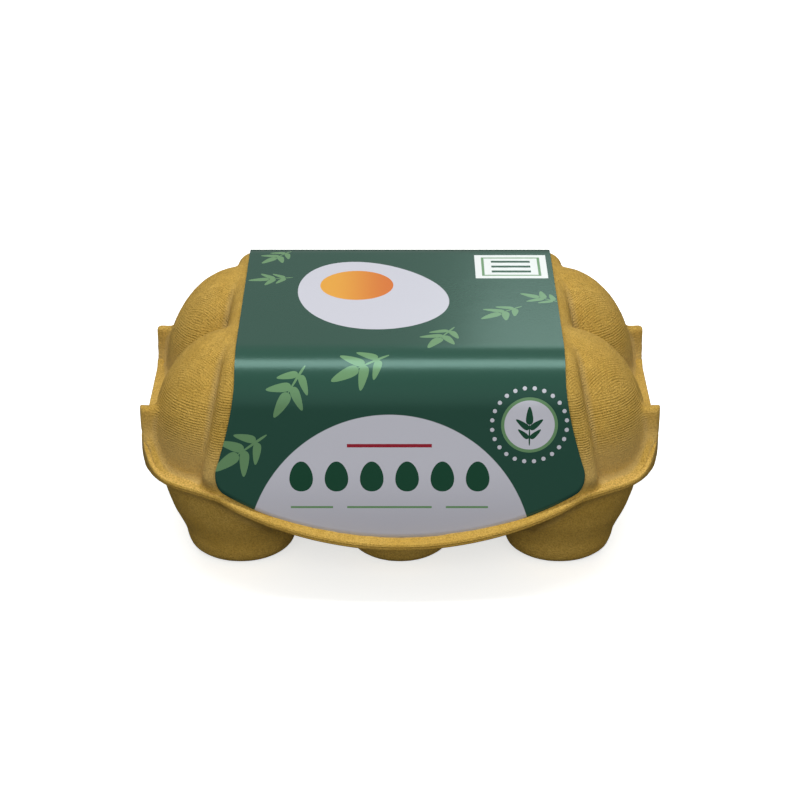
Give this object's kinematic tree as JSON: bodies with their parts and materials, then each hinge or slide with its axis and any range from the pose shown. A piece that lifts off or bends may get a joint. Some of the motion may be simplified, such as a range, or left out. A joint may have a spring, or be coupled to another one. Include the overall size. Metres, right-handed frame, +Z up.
{
  "type": "egg carton",
  "caption": "Shut moulded-pulp egg box in two rows of three, with domed corners, a raised middle panel, a flanged rim, cupped feet and a printed paper label over the lid.",
  "frame": {"origin": "on the surface that the box stands on, below the middle of the box", "axes": "+X along the length, to the viewer's right; +Y from the front towards the back, where the lid would hinge; +Z up"},
  "size_m": [0.1518, 0.123, 0.07],
  "materials": {
    "tray": "mustard-dyed moulded paper pulp, rough and matt",
    "lid": "mustard-dyed moulded paper pulp, rough and matt",
    "label": "dark green printed paper with a semi-gloss varnish"
  },
  "bodies": {
    "root": {"tray": "tray", "lid": "lid", "label": "label"}
  },
  "joints": []
}
